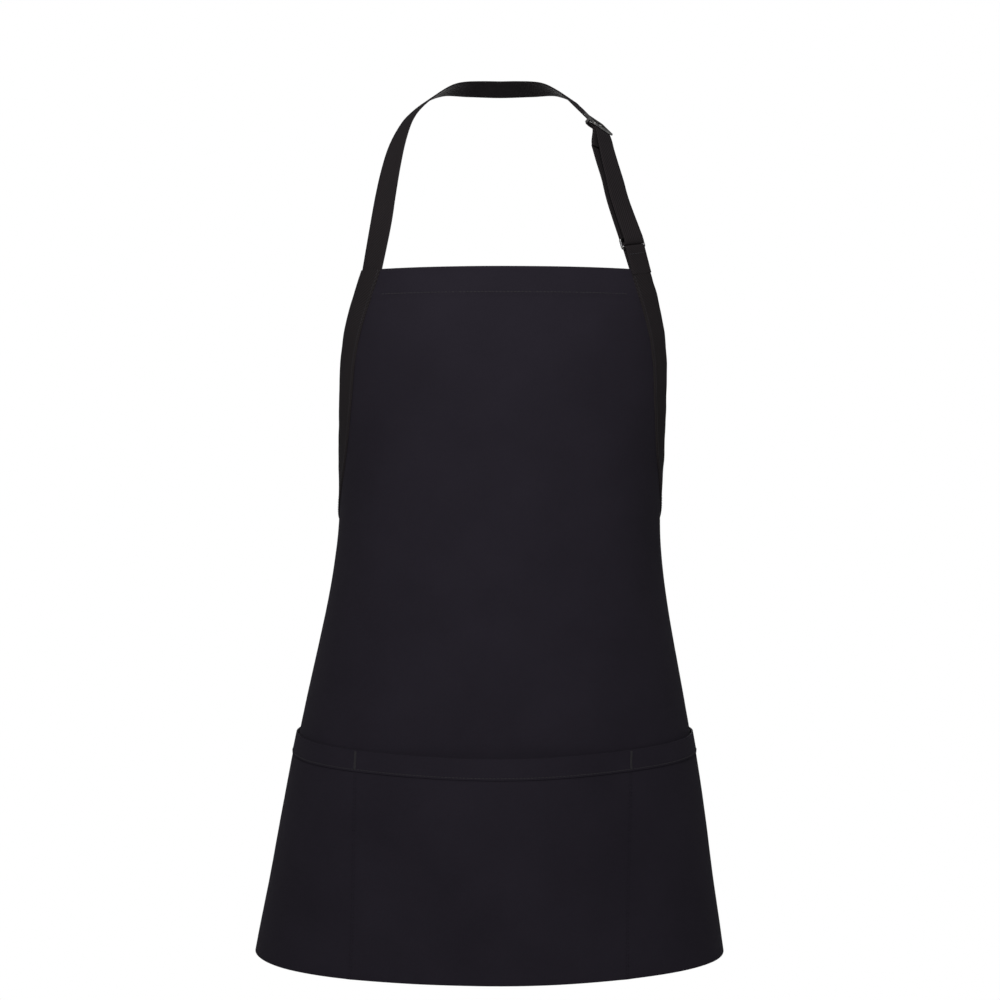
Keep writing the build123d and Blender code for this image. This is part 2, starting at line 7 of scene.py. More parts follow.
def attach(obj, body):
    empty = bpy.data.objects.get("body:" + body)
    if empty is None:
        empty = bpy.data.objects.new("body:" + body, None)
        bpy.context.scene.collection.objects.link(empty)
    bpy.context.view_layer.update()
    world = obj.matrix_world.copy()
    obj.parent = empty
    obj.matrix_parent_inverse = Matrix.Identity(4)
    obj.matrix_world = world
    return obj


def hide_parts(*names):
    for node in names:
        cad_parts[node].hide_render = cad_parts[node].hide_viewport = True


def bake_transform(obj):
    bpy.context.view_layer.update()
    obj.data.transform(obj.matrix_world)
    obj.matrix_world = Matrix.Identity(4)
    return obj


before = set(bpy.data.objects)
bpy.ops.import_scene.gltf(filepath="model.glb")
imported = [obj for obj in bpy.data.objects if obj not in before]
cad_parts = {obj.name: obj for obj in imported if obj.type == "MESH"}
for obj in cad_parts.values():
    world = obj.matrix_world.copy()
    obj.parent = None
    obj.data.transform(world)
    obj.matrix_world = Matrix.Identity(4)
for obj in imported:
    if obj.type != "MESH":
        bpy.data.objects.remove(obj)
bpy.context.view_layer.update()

# A black bib apron as it hangs on a wearer.  Metres.  A point on the cloth is given on its flat
# pattern: u runs sideways from the centre line, v runs down from the top edge of the bib.

# ---- cloth and tape, as in the CAD ----
CLOTH = 0.0008
TAPE = 0.0254
TAPE_THICK = 0.0012
LAYER_GAP = 0.0002
APRON_LENGTH = 0.648
PANEL_HALF = 0.711 / 2
BIB_HALF = 0.293 / 2
ARMHOLE_DROP = 0.250
BIB_HEM = 0.0254
SIDE_HEM = 0.012
POCKET_DEPTH = 0.203
POCKET_HEM = 0.019
SEAM_U = 0.256 / 2
CENTRE_GAPE = 0.009
SIDE_GAPE = 0.0008           # the side pockets lie almost flat as it hangs
MOUTH_V = APRON_LENGTH - POCKET_DEPTH

BIB_TOP_Z = -0.185
TORSO_Y = -0.062
WAIST_V = 0.215
HALF_WIDTHS = ((0, 0.153), (0.062, 0.160), (WAIST_V, 0.151), (0.270, 0.1535), (APRON_LENGTH, 0.220))
FRONT_DEPTHS = ((0, 0.098), (0.062, 0.110), (WAIST_V, 0.117), (APRON_LENGTH, 0.150))
BACK_DEPTHS = ((0, 0.098), (WAIST_V, 0.098), (APRON_LENGTH, 0.128))
TILTS = ((0, 0), (WAIST_V, 0.047), (MOUTH_V, 0.094), (APRON_LENGTH, 0.055))
SHIFTS = ((0, 0.005), (APRON_LENGTH, -0.010))
ARMHOLE_SHAPE = (            # shares of the way out from the bib's corner, and of the drop
    (0.0, 0.0),
    (0.072, 0.128),
    (0.139, 0.3),
    (0.182, 0.5),
    (0.249, 0.688),
    (0.392, 0.848),
    (0.622, 0.944),
    (1.0, 1.0),
)
ARMHOLE = [(BIB_HALF + (PANEL_HALF - BIB_HALF) * out, ARMHOLE_DROP * down) for out, down in ARMHOLE_SHAPE]
SIDES = (("left", 1), ("right", -1))


# ---- camera ----
VIEW_DISTANCE = 2.6          # from the plane through the wearer's sides
VIEW_WIDTH = 0.95            # what the frame spans in that plane
VIEW_HEIGHT = -0.399
SENSOR = 36.0


def add_camera():
    data = bpy.data.cameras.new("camera")
    data.sensor_width = SENSOR
    data.lens = SENSOR * VIEW_DISTANCE / VIEW_WIDTH
    camera = bpy.data.objects.new("camera", data)
    camera.location = (0, TORSO_Y - VIEW_DISTANCE, VIEW_HEIGHT)
    camera.rotation_euler = (math.pi / 2, 0, 0)
    bpy.context.collection.objects.link(camera)
    bpy.context.scene.camera = camera


# ---- the shape that the cloth hangs in ----
def through(stations, v):
    """A smooth curve through (v, value) stations, read at v."""
    if v <= stations[0][0]:
        return stations[0][1]
    if v >= stations[-1][0]:
        return stations[-1][1]
    slopes = [(b[1] - a[1]) / (b[0] - a[0]) for a, b in zip(stations, stations[1:])]
    bends = [slopes[0]] + [(a + b) / 2 for a, b in zip(slopes, slopes[1:])] + [slopes[-1]]
    i = max(k for k in range(len(slopes)) if stations[k][0] <= v)
    (v0, p0), (v1, p1) = stations[i], stations[i + 1]
    span = v1 - v0
    t = (v - v0) / span
    rise = t * t * (3 - 2 * t)
    return (
        p0 * (1 - rise)
        + p1 * rise
        + span * bends[i] * t * (1 - t) ** 2
        - span * bends[i + 1] * t * t * (1 - t)
    )


SECTION_STEPS = 180
sections = {}


def section(v):
    """The half section of the body at v: half width, depths and (arc length, angle) pairs."""
    key = round(v, 6)
    if key not in sections:
        wide = through(HALF_WIDTHS, v)
        front = through(FRONT_DEPTHS, v)
        back = through(BACK_DEPTHS, v)
        length = 0.0
        arcs = [(0.0, 0.0)]
        for i in range(SECTION_STEPS):
            angle = math.pi * (i + 0.5) / SECTION_STEPS
            deep = front if angle < math.pi / 2 else back
            step = math.hypot(wide * math.cos(angle), deep * math.sin(angle))
            length += step * math.pi / SECTION_STEPS
            arcs.append((length, math.pi * (i + 1) / SECTION_STEPS))
        sections[key] = (wide, front, back, arcs)
    return sections[key]


def smooth(low, high, x):
    t = min(max((x - low) / (high - low), 0), 1)
    return t * t * (3 - 2 * t)


FULLNESS = 0.0032            # how far the skirt stands out above the pockets


def drape(u, v):
    """The slight unevenness of the hanging cloth, which all its layers share."""
    skirt = smooth(0.20, 0.55, v)
    loose = 0.0011 * noise.noise((u * 7.0, v * 3.5, 1.7))
    flutes = 0.0010 * skirt * math.sin(u * 31 + 2.2 * noise.noise((u * 4, v * 2, 5.0)))
    small = 0.00035 * noise.noise((u * 26, v * 15, 9.1))
    full = FULLNESS * smooth(0.28, 0.42, v) * (1 - smooth(0.46, 0.60, v))
    return loose + flutes + small + full


def on_body(u, v, lift=0.0):
    """Where a point of the flat pattern lies in space, lift metres off the body."""
    wide, front, back, arcs = section(v)
    along = min(abs(u), arcs[-1][0])
    i = min(int(along / arcs[-1][0] * SECTION_STEPS), SECTION_STEPS - 1)
    while arcs[i][0] > along:
        i -= 1
    while i < SECTION_STEPS - 1 and arcs[i + 1][0] < along:
        i += 1
    (s0, a0), (s1, a1) = arcs[i], arcs[i + 1]
    angle = a0 + (a1 - a0) * (along - s0) / (s1 - s0)
    deep = front if angle < math.pi / 2 else back
    lift += drape(u, v)
    x = through(SHIFTS, v) + math.copysign((wide + lift) * math.sin(angle), u)
    y = TORSO_Y - (deep + lift) * math.cos(angle)
    climb = through(TILTS, v) * (y - TORSO_Y + front)
    return Vector((x, y, BIB_TOP_Z - v + climb))


def between(low, high, count):
    """count + 1 evenly spaced values from low to high."""
    return [low + (high - low) * i / count for i in range(count + 1)]


def curve_through(points, per_span):
    """A Catmull-Rom curve through points, per_span steps to each span."""
    padded = [points[0] * 2 - points[1]] + list(points) + [points[-1] * 2 - points[-2]]
    line = []
    for i in range(1, len(padded) - 2):
        a, b, c, d = padded[i - 1 : i + 3]
        for k in range(per_span):
            t = k / per_span
            line.append(
                0.5
                * (
                    2 * b
                    + (c - a) * t
                    + (2 * a - 5 * b + 4 * c - d) * t * t
                    + (3 * b - a - 3 * c + d) * t ** 3
                )
            )
    line.append(points[-1].copy())
    return line


# ---- meshes ----
def new_piece(name, verts, faces, uvs, material, body, sharp=50):
    """A smooth-shaded mesh object riding on a CAD body; uvs has one pair for each vertex."""
    mesh = bpy.data.meshes.new(name)
    mesh.from_pydata([tuple(p) for p in verts], [], faces)
    mesh.validate()
    layer = mesh.uv_layers.new(name="flat")
    for loop in mesh.loops:
        layer.data[loop.index].uv = uvs[loop.vertex_index]
    mesh.polygons.foreach_set("use_smooth", [True] * len(mesh.polygons))
    mesh.set_sharp_from_angle(angle=math.radians(sharp))
    mesh.materials.append(material)
    piece = bpy.data.objects.new(name, mesh)
    bpy.context.collection.objects.link(piece)
    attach(piece, body)
    return piece


def sheet_solid(name, outer, inner, uvs, material, body):
    """A closed shell between two grids of points."""
    high, wide = len(outer), len(outer[0])
    verts = [p for row in outer for p in row] + [p for row in inner for p in row]
    flat = [uv for row in uvs for uv in row] * 2
    back = high * wide
    faces = []
    for j in range(high - 1):
        for i in range(wide - 1):
            a = j * wide + i
            b, d = a + 1, a + wide
            c = b + wide
            faces.append((a, d, c, b))
            faces.append((a + back, b + back, c + back, d + back))
    last = (high - 1) * wide
    rim = [(j * wide, (j + 1) * wide) for j in range(high - 1)]
    rim += [((j + 2) * wide - 1, (j + 1) * wide - 1) for j in range(high - 1)]
    rim += [(i + 1, i) for i in range(wide - 1)]
    rim += [(last + i, last + i + 1) for i in range(wide - 1)]
    for a, b in rim:
        faces.append((a, a + back, b + back, b))
    return new_piece(name, verts, faces, flat, material, body)


def cloth_solid(name, us, vs_at, lift, thick, material, body="apron"):
    """Cloth over the body: vs_at(u) gives a column's v values, lift(u, v) its inner face."""
    columns = [vs_at(u) for u in us]
    rows = range(len(columns[0]))
    grid = [[(u, columns[i][j]) for i, u in enumerate(us)] for j in rows]
    outer = [[on_body(u, v, lift(u, v) + thick) for u, v in row] for row in grid]
    inner = [[on_body(u, v, lift(u, v)) for u, v in row] for row in grid]
    return sheet_solid(name, outer, inner, grid, material, body)


def tube_solid(name, rings, uvs, material, body):
    """A closed solid through rings of points, capped at both ends."""
    wide = len(rings[0])
    verts = [p for ring in rings for p in ring]
    flat = [uv for row in uvs for uv in row]
    faces = []
    for j in range(len(rings) - 1):
        for i in range(wide):
            a, b = j * wide + i, j * wide + (i + 1) % wide
            faces.append((a, b, b + wide, a + wide))
    faces.append(tuple(reversed(range(wide))))
    last = (len(rings) - 1) * wide
    faces.append(tuple(last + i for i in range(wide)))
    return new_piece(name, verts, faces, flat, material, body)


def tape_profile(width, thick, steps=6):
    """The rounded section of tape, as (across, off) points."""
    round_off = thick / 2
    points = []
    for side in (1, -1):
        for x in between(-0.5, 0.5, steps):
            points.append((side * x * (width - 2 * round_off), -side * round_off))
        points.append((side * (width / 2 - 0.3 * round_off), -side * 0.7 * round_off))
        points.append((side * width / 2, 0.0))
        points.append((side * (width / 2 - 0.3 * round_off), side * 0.7 * round_off))
    return points


def tape_solid(name, places, acrosses, material, body, lifts=None, widths=None, cup=0.0):
    """Tape along a line of places, flat to the direction across it at each place."""
    rings, uvs = [], []
    travelled = 0.0
    profile = tape_profile(TAPE, TAPE_THICK)
    for i, place in enumerate(places):
        ahead = places[min(i + 1, len(places) - 1)] - places[max(i - 1, 0)]
        along = ahead.normalized()
        across = (acrosses[i] - along * acrosses[i].dot(along)).normalized()
        off = along.cross(across)
        if i:
            travelled += (place - places[i - 1]).length
        centre = place + off * (lifts[i] if lifts else 0.0)
        share = widths[i] if widths else 1.0
        ring = []
        for x, y in profile:
            bow = cup * (1 - (2 * x / TAPE) ** 2) + (1 - share) * 0.006 * math.cos(9 * x / TAPE)
            ring.append(centre + across * (x * share) + off * (y + bow))
        rings.append(ring)
        uvs.append([(x, travelled) for x, y in profile])
    return tube_solid(name, rings, uvs, material, body)


STITCH_LENGTH = 0.0026
STITCH_PITCH = 0.0034
STITCH_WIDTH = 0.00075
STITCH_PROUD = 0.00028
STITCH_SHAPE = (             # share of its length, share of its width, height: its ends dip into the cloth
    (-0.5, 0.45, -0.6),
    (-0.25, 1, 0.7),
    (0.25, 1, 0.7),
    (0.5, 0.45, -0.6),
)


def stitch_row(name, line, outward, material, body="apron", pitch=STITCH_PITCH, length=STITCH_LENGTH):
    """A row of thread stitches on a line of points; outward gives the cloth's normal at each."""
    verts, faces, uvs = [], [], []
    travelled = 0.0
    next_at = pitch / 2
    for i in range(len(line) - 1):
        a, b = line[i], line[i + 1]
        span = (b - a).length
        while next_at <= travelled + span:
            t = (next_at - travelled) / span
            along = (b - a).normalized()
            off = (outward[i] * (1 - t) + outward[i + 1] * t).normalized()
            across = off.cross(along)
            centre = a + (b - a) * t
            base = len(verts)
            for share, wide, high in STITCH_SHAPE:
                middle = centre + along * (share * length)
                for x, y in ((-0.5, 0.0), (0.0, 1.0), (0.5, 0.0), (0.0, -0.6)):
                    verts.append(
                        middle + across * (x * wide * STITCH_WIDTH) + off * ((y + high) * STITCH_PROUD)
                    )
                    uvs.append((x * STITCH_WIDTH, next_at + share * length))
            for k in range(3):
                for m in range(4):
                    p, q = base + 4 * k + m, base + 4 * k + (m + 1) % 4
                    faces.append((p, q, q + 4, p + 4))
            faces.append((base + 3, base + 2, base + 1, base))
            faces.append((base + 12, base + 13, base + 14, base + 15))
            next_at += pitch
        travelled += span
    return new_piece(name, verts, faces, uvs, material, body, sharp=80)


def row_on_cloth(name, flat_points, lift, material, **options):
    """A stitch row along flat pattern points, lying on cloth whose outside is at lift(u, v)."""
    line, outward = [], []
    for u, v in flat_points:
        place = on_body(u, v, lift(u, v))
        above = on_body(u, v, lift(u, v) + 0.005)
        line.append(place)
        outward.append((above - place).normalized())
    return stitch_row(name, line, outward, material, **options)


# ---- materials ----
def new_material(name):
    material = bpy.data.materials.new(name)
    material.use_nodes = True
    nodes = material.node_tree.nodes
    links = material.node_tree.links
    return material, nodes, links, nodes["Principled BSDF"]


def node(nodes, kind, **values):
    made = nodes.new(kind)
    for key, value in values.items():
        if key in made.inputs:
            made.inputs[key].default_value = value
        else:
            setattr(made, key, value)
    return made


def woven(name, colour, pitch, depth, sheen, rib=1.0):
    """Black woven cloth: crossed threads as bump, a little uneven dyeing, and a soft sheen."""
    material, nodes, links, shader = new_material(name)
    place = node(nodes, "ShaderNodeUVMap", uv_map="flat")
    scale = math.pi / 10 / pitch
    threads = []
    for turn, stretch in ((math.radians(45), 1.0), (math.radians(-45), rib)):
        turned = node(nodes, "ShaderNodeVectorRotate", rotation_type="Z_AXIS", Angle=turn)
        links.new(place.outputs["UV"], turned.inputs["Vector"])
        wave = node(nodes, "ShaderNodeTexWave", Scale=scale * stretch, Distortion=0.6)
        wave.inputs["Detail"].default_value = 1.0
        wave.inputs["Detail Scale"].default_value = 0.6
        links.new(turned.outputs["Vector"], wave.inputs["Vector"])
        threads.append(wave)
    weave = node(nodes, "ShaderNodeMath", operation="MULTIPLY")
    links.new(threads[0].outputs["Fac"], weave.inputs[0])
    links.new(threads[1].outputs["Fac"], weave.inputs[1])
    fibre = node(nodes, "ShaderNodeTexNoise", Scale=1 / (3.1 * pitch), Detail=3.0)
    links.new(place.outputs["UV"], fibre.inputs["Vector"])
    height = node(nodes, "ShaderNodeMath", operation="ADD")
    links.new(weave.outputs[0], height.inputs[0])
    links.new(fibre.outputs["Fac"], height.inputs[1])
    bump = node(nodes, "ShaderNodeBump", Strength=depth, Distance=0.0003)
    links.new(height.outputs[0], bump.inputs["Height"])
    links.new(bump.outputs["Normal"], shader.inputs["Normal"])
    dye = node(nodes, "ShaderNodeTexNoise", Scale=14.0, Detail=4.0)
    links.new(place.outputs["UV"], dye.inputs["Vector"])
    mix = node(nodes, "ShaderNodeMath", operation="MULTIPLY_ADD")
    mix.inputs[1].default_value = 0.35
    links.new(dye.outputs["Fac"], mix.inputs[0])
    links.new(weave.outputs[0], mix.inputs[2])
    ramp = node(nodes, "ShaderNodeValToRGB")
    dark, light = ramp.color_ramp.elements
    dark.position, light.position = 0.0, 1.0
    dark.color = (*[c * 0.55 for c in colour], 1)
    light.color = (*[c * 1.75 for c in colour], 1)
    links.new(mix.outputs[0], ramp.inputs["Fac"])
    links.new(ramp.outputs["Color"], shader.inputs["Base Color"])
    shader.inputs["Roughness"].default_value = 0.88
    shader.inputs["Specular IOR Level"].default_value = 0.10
    shader.inputs["IOR"].default_value = 1.15
    shader.inputs["Sheen Weight"].default_value = sheen
    shader.inputs["Sheen Roughness"].default_value = 0.45
    shader.inputs["Sheen Tint"].default_value = (0.85, 0.82, 0.92, 1)
    return material


def thread_material():
    """Twisted sewing thread, a touch glossier than the cloth."""
    material, nodes, links, shader = new_material("thread")
    place = node(nodes, "ShaderNodeUVMap", uv_map="flat")
    turned = node(nodes, "ShaderNodeVectorRotate", rotation_type="Z_AXIS", Angle=0.9)
    links.new(place.outputs["UV"], turned.inputs["Vector"])
    twist = node(nodes, "ShaderNodeTexWave", Scale=math.pi / 10 / 0.0005)
    links.new(turned.outputs["Vector"], twist.inputs["Vector"])
    bump = node(nodes, "ShaderNodeBump", Strength=0.4, Distance=0.0001)
    links.new(twist.outputs["Fac"], bump.inputs["Height"])
    links.new(bump.outputs["Normal"], shader.inputs["Normal"])
    ramp = node(nodes, "ShaderNodeValToRGB")
    dark, light = ramp.color_ramp.elements
    dark.color = (0.014, 0.013, 0.015, 1)
    light.color = (0.030, 0.028, 0.031, 1)
    links.new(twist.outputs["Fac"], ramp.inputs["Fac"])
    links.new(ramp.outputs["Color"], shader.inputs["Base Color"])
    shader.inputs["Roughness"].default_value = 0.7
    shader.inputs["Specular IOR Level"].default_value = 0.12
    return material


def gunmetal_material():
    """Dark plated steel, worn a little brighter in patches."""
    material, nodes, links, shader = new_material("gunmetal")
    place = node(nodes, "ShaderNodeTexCoord")
    wear = node(nodes, "ShaderNodeTexNoise", Scale=260.0, Detail=5.0)
    links.new(place.outputs["Object"], wear.inputs["Vector"])
    ramp = node(nodes, "ShaderNodeValToRGB")
    dark, light = ramp.color_ramp.elements
    dark.position, light.position = 0.35, 0.75
    dark.color = (0.10, 0.10, 0.105, 1)
    light.color = (0.24, 0.235, 0.225, 1)
    links.new(wear.outputs["Fac"], ramp.inputs["Fac"])
    links.new(ramp.outputs["Color"], shader.inputs["Base Color"])
    rough = node(nodes, "ShaderNodeMapRange")
    rough.inputs["To Min"].default_value = 0.22
    rough.inputs["To Max"].default_value = 0.42
    links.new(wear.outputs["Fac"], rough.inputs["Value"])
    links.new(rough.outputs["Result"], shader.inputs["Roughness"])
    bump = node(nodes, "ShaderNodeBump", Strength=0.15, Distance=0.0001)
    links.new(wear.outputs["Fac"], bump.inputs["Height"])
    links.new(bump.outputs["Normal"], shader.inputs["Normal"])
    shader.inputs["Metallic"].default_value = 1.0
    return material


CLOTH_COLOUR = (0.0125, 0.0108, 0.0150)
TAPE_COLOUR = (0.0130, 0.0112, 0.0119)
cloth_black = woven("cloth_black", CLOTH_COLOUR, 0.0009, 0.35, 0.015)
tape_black = woven("tape_black", TAPE_COLOUR, 0.0011, 0.5, 0.015, rib=0.5)
thread_black = thread_material()
gunmetal = gunmetal_material()


# ---- armhole curve on the flat pattern ----
SQUARE_END = 0.12
armhole_line = curve_through([Vector(point) for point in ARMHOLE], 16)


def armhole_point(i, inward):
    """A flat pattern point beside point i of the armhole edge, inward from it."""
    edge = armhole_line[i]
    along = (armhole_line[min(i + 1, len(armhole_line) - 1)] - armhole_line[max(i - 1, 0)]).normalized()
    turn = min(i / (len(armhole_line) - 1) / SQUARE_END, 1)
    level = Vector((-1, 0)) * (1 - turn) + Vector((-along.y, along.x)) * turn
    point = edge + level.normalized() * inward
    return point.x, point.y


EDGE_ROOM = 0.0016


def top_at(u):
    """Where the cloth starts in the column at u: the bib's top edge, or the armhole."""
    reach = abs(u)
    edge = [armhole_point(i, EDGE_ROOM) for i in range(len(armhole_line))]
    if reach <= edge[0][0]:
        return 0.0
    for (u0, v0), (u1, v1) in zip(edge, edge[1:]):
        if u1 >= reach:
            return v0 + (v1 - v0) * (reach - u0) / (u1 - u0)
    return edge[-1][1]


# ---- body panel ----
COLUMNS = 120
ROWS = 110
HEM_RIDGE = 0.0005


def body_lift(u, v):
    """The cloth stands out a hair where a hem lies behind it."""
    bib_band = 1 - smooth(BIB_HEM - 0.001, BIB_HEM + 0.003, v)
    side_band = smooth(PANEL_HALF - SIDE_HEM - 0.003, PANEL_HALF - SIDE_HEM, abs(u))
    pucker = 0.00025 * bib_band * math.sin(u * 900 + 3 * noise.noise((u * 40, 0, 2)))
    return HEM_RIDGE * max(bib_band, side_band) + pucker * smooth(0.015, 0.024, v)


def column(u):
    top = top_at(u)
    first = min(0.032, (APRON_LENGTH - top) / 4)
    fine = between(top, top + first, 16)
    return fine + between(top + first, APRON_LENGTH, ROWS - 16)[1:]


panel_us = between(-PANEL_HALF, PANEL_HALF, COLUMNS)
body_panel = cloth_solid("body_cloth", panel_us, column, body_lift, CLOTH, cloth_black)
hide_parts("body_panel")

bib_hem_half = BIB_HALF - TAPE - 0.002
bib_hem = cloth_solid(
    "bib_hem",
    between(-bib_hem_half, bib_hem_half, 60),
    lambda u: between(0.0002, BIB_HEM, 6),
    lambda u, v: body_lift(u, v) - LAYER_GAP - CLOTH,
    CLOTH,
    cloth_black,
)
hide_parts("bib_top_hem")
bib_stitches = row_on_cloth(
    "bib_hem_stitches",
    [(u, BIB_HEM - 0.0015) for u in between(-bib_hem_half, bib_hem_half, 120)],
    lambda u, v: body_lift(u, v) + CLOTH,
    thread_black,
)

for name, side in SIDES:
    hem = cloth_solid(
        f"side_hem_{name}_fold",
        sorted(side * (PANEL_HALF - x) for x in between(0.0002, SIDE_HEM, 3)),
        lambda u: between(ARMHOLE_DROP + TAPE + 0.002, APRON_LENGTH, 60),
        lambda u, v: body_lift(u, v) - LAYER_GAP - CLOTH,
        CLOTH,
        cloth_black,
    )
    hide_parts(f"side_hem_{name}")
    stitches = row_on_cloth(
        f"side_hem_{name}_stitches",
        [(side * (PANEL_HALF - SIDE_HEM + 0.0015), v) for v in between(ARMHOLE_DROP + TAPE, MOUTH_V, 60)],
        lambda u, v: body_lift(u, v) + CLOTH,
        thread_black,
    )


# ---- armhole bindings ----
UNDER = LAYER_GAP + TAPE_THICK
BINDING_HALF = CLOTH / 2 + UNDER


def binding_profile():
    """The folded tape's section as (inward, lift) points, round its outside and back inside."""
    middle = CLOTH / 2
    slot_half = BINDING_HALF - TAPE_THICK
    points = [(x, middle + BINDING_HALF) for x in between(TAPE - 0.0005, BINDING_HALF, 8)]
    for k in range(1, 8):
        angle = math.pi / 2 + math.pi * k / 8
        points.append(
            (BINDING_HALF + BINDING_HALF * math.cos(angle), middle + BINDING_HALF * math.sin(angle))
        )
    points += [(x, middle - BINDING_HALF) for x in between(BINDING_HALF, TAPE - 0.0005, 8)]
    points.append((TAPE, middle - BINDING_HALF + 0.0005))
    points.append((TAPE, middle - slot_half))
    points += [(x, middle - slot_half) for x in between(TAPE - 0.003, TAPE_THICK, 3)]
    points += [(x, middle + slot_half) for x in between(TAPE_THICK, TAPE - 0.003, 3)]
    points.append((TAPE, middle + slot_half))
    points.append((TAPE, middle + BINDING_HALF - 0.0005))
    return points


def binding_wobble(i, side):
    """Where tape is eased round the curve it ripples a little."""
    return 0.0004 * noise.noise((i * 0.21, side * 3.0, 4.4))


for name, side in SIDES:
    rings, uvs = [], []
    travelled = 0.0
    profile = binding_profile()
    for i in range(len(armhole_line)):
        if i:
            travelled += (armhole_line[i] - armhole_line[i - 1]).length
        ring = []
        for inward, lift in profile:
            u, v = armhole_point(i, inward)
            ring.append(on_body(side * u, v, lift + binding_wobble(i, side)))
        rings.append(ring)
        uvs.append([(inward if lift > 0 else -inward, travelled) for inward, lift in profile])
    binding = tube_solid(f"binding_{name}", rings, uvs, tape_black, "apron")
    if side > 0:
        binding.data.flip_normals()
    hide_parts(f"armhole_binding_{name}")
    line = [armhole_point(i, TAPE - 0.0022) for i in range(len(armhole_line))]
    stitches = row_on_cloth(
        f"binding_{name}_stitches",
        [(side * u, v) for u, v in line],
        lambda u, v: CLOTH / 2 + BINDING_HALF,
        thread_black,
    )


# ---- pockets ----
POCKET_BASE = CLOTH + LAYER_GAP


def pocket_lift(u, v):
    """How far the inside of the pocket cloth stands off the body."""
    up = min(max((APRON_LENGTH - v) / POCKET_DEPTH, 0), 1)
    if abs(u) < SEAM_U:
        bulge = CENTRE_GAPE * math.cos(math.pi * u / (2 * SEAM_U)) ** 2
    else:
        side_pocket = PANEL_HALF - SEAM_U
        bulge = SIDE_GAPE * math.sin(math.pi * min((abs(u) - SEAM_U) / side_pocket, 1)) ** 2
    seam = 0.0006 * math.exp(-(((abs(u) - SEAM_U) / 0.004) ** 2)) * noise.noise((u * 10, v * 160, 3))
    return POCKET_BASE + HEM_RIDGE + bulge * math.sin(math.pi / 2 * up) + seam


pocket_us = between(-PANEL_HALF, -SEAM_U, 36) + between(-SEAM_U, SEAM_U, 44)[1:]
pocket_us += between(SEAM_U, PANEL_HALF, 36)[1:]
pocket_rows = [(v, None) for v in between(MOUTH_V, APRON_LENGTH, 44)]
pocket_rows += [(APRON_LENGTH, math.pi * k / 6) for k in range(1, 7)]
outer, inner, flat = [], [], []
for v, angle in pocket_rows:
    outer_row, inner_row, flat_row = [], [], []
    for u in pocket_us:
        inside = pocket_lift(u, v)
        if angle is None:
            outer_row.append(on_body(u, v, inside + CLOTH))
            inner_row.append(on_body(u, v, inside))
            flat_row.append((u, v))
        else:
            middle = (inside + CLOTH) / 2
            reach = middle * math.sin(angle)
            outer_row.append(on_body(u, v + reach, middle + middle * math.cos(angle)))
            small = max(middle - CLOTH, 0.0001)
            inner_row.append(on_body(u, v + small * math.sin(angle), middle + small * math.cos(angle)))
            flat_row.append((u, v + middle * angle))
    outer.append(outer_row)
    inner.append(inner_row)
    flat.append(flat_row)
pocket = sheet_solid("pocket_cloth", outer, inner, flat, cloth_black, "apron")
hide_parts("pocket_panel")

band = cloth_solid(
    "pocket_hem_band",
    pocket_us,
    lambda u: between(MOUTH_V, MOUTH_V + POCKET_HEM, 8),
    lambda u, v: pocket_lift(u, v) + CLOTH + 0.00005,
    CLOTH * 0.8,
    cloth_black,
)
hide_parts("pocket_top_hem")
band_stitches = row_on_cloth(
    "pocket_hem_stitches",
    [(u, MOUTH_V + POCKET_HEM - 0.0018) for u in between(-PANEL_HALF + 0.003, PANEL_HALF - 0.003, 240)],
    lambda u, v: pocket_lift(u, v) + CLOTH * 1.8,
    thread_black,
)
ROW_SHIFT = 0.0011           # each of the two rows lies this far from the seam's middle
divider_vs = between(MOUTH_V + POCKET_HEM, APRON_LENGTH - 0.001, 60)
for name, side in SIDES:
    for row, shift in (("inner", -ROW_SHIFT), ("outer", ROW_SHIFT)):
        row_on_cloth(
                f"pocket_divider_{name}_{row}",
                [(side * (SEAM_U + shift), v) for v in divider_vs],
                lambda u, v: pocket_lift(u, v) + CLOTH,
                cloth_black,
            )
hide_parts("pocket_divider_stitching")
tacks = []
for name, side in SIDES:
    line = [(side * SEAM_U, v) for v in between(MOUTH_V + 0.001, MOUTH_V + 0.017, 10)]
    for shift in (-0.0008, 0.0, 0.0008):
        tacks.append(
            row_on_cloth(
                f"bartack_{name}_{len(tacks)}",
                [(u + shift, v) for u, v in line],
                lambda u, v: pocket_lift(u, v) + CLOTH * 1.8 + 0.0002,
                thread_black,
                pitch=0.0009,
                length=0.0014,
            )
        )
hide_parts("pocket_bartacks")


# ---- neck strap ----
SLIDE_PLACE = Vector((0.0913, -0.088, -0.047))
SLIDE_ACROSS = Vector((0.583, 0.768, -0.266))
SLIDE_TRAVEL = 0.030
SLIDE_HEIGHT = 0.020
STRAIGHT_BELOW = 0.009
RING_HEIGHT = 0.011
RING_WIRE = 0.0022
RING_RISE = 0.026
RING_ROOM = 0.0013           # play of the ring in the strap
run = Vector((-0.517, 0.603, 0.608)).normalized()
slide_across = (SLIDE_ACROSS - run * SLIDE_ACROSS.dot(run)).normalized()
slide_normal = slide_across.cross(run)
straight_top = SLIDE_PLACE + run * (SLIDE_TRAVEL + SLIDE_HEIGHT / 2 + 0.002)
straight_bottom = SLIDE_PLACE - run * STRAIGHT_BELOW


def corner_frame(side):
    """The middle of the binding's top end, and the direction across it."""
    place = on_body(side * (BIB_HALF - TAPE / 2), 0, CLOTH / 2)
    across = on_body(side * BIB_HALF, 0) - on_body(side * (BIB_HALF - TAPE), 0)
    return place, across.normalized()


